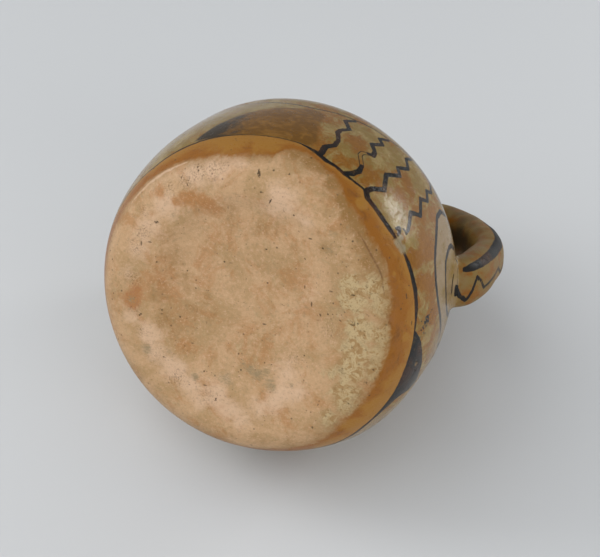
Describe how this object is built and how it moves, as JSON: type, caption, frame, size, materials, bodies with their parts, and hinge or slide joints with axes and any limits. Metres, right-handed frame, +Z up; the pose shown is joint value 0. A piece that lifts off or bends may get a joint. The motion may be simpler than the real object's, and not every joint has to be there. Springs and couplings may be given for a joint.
{
  "type": "bi-lobe handled jar",
  "caption": "Hand-built burnished clay jar with a wide lower lobe, a smaller upper lobe, an open flared mouth and a strap handle joining the lobes.",
  "frame": {"origin": "middle of the whole jar's length and width, on the surface it stands on", "axes": "+Z up through the mouth, +X towards the strap handle, +Y across the handle"},
  "size_m": [0.1933, 0.18, 0.1934],
  "materials": {
    "clay": "stone-burnished buff and orange slip with thin black painted lines, unslipped rubbed underside"
  },
  "bodies": {
    "root": {"jar": "clay"}
  },
  "joints": []
}
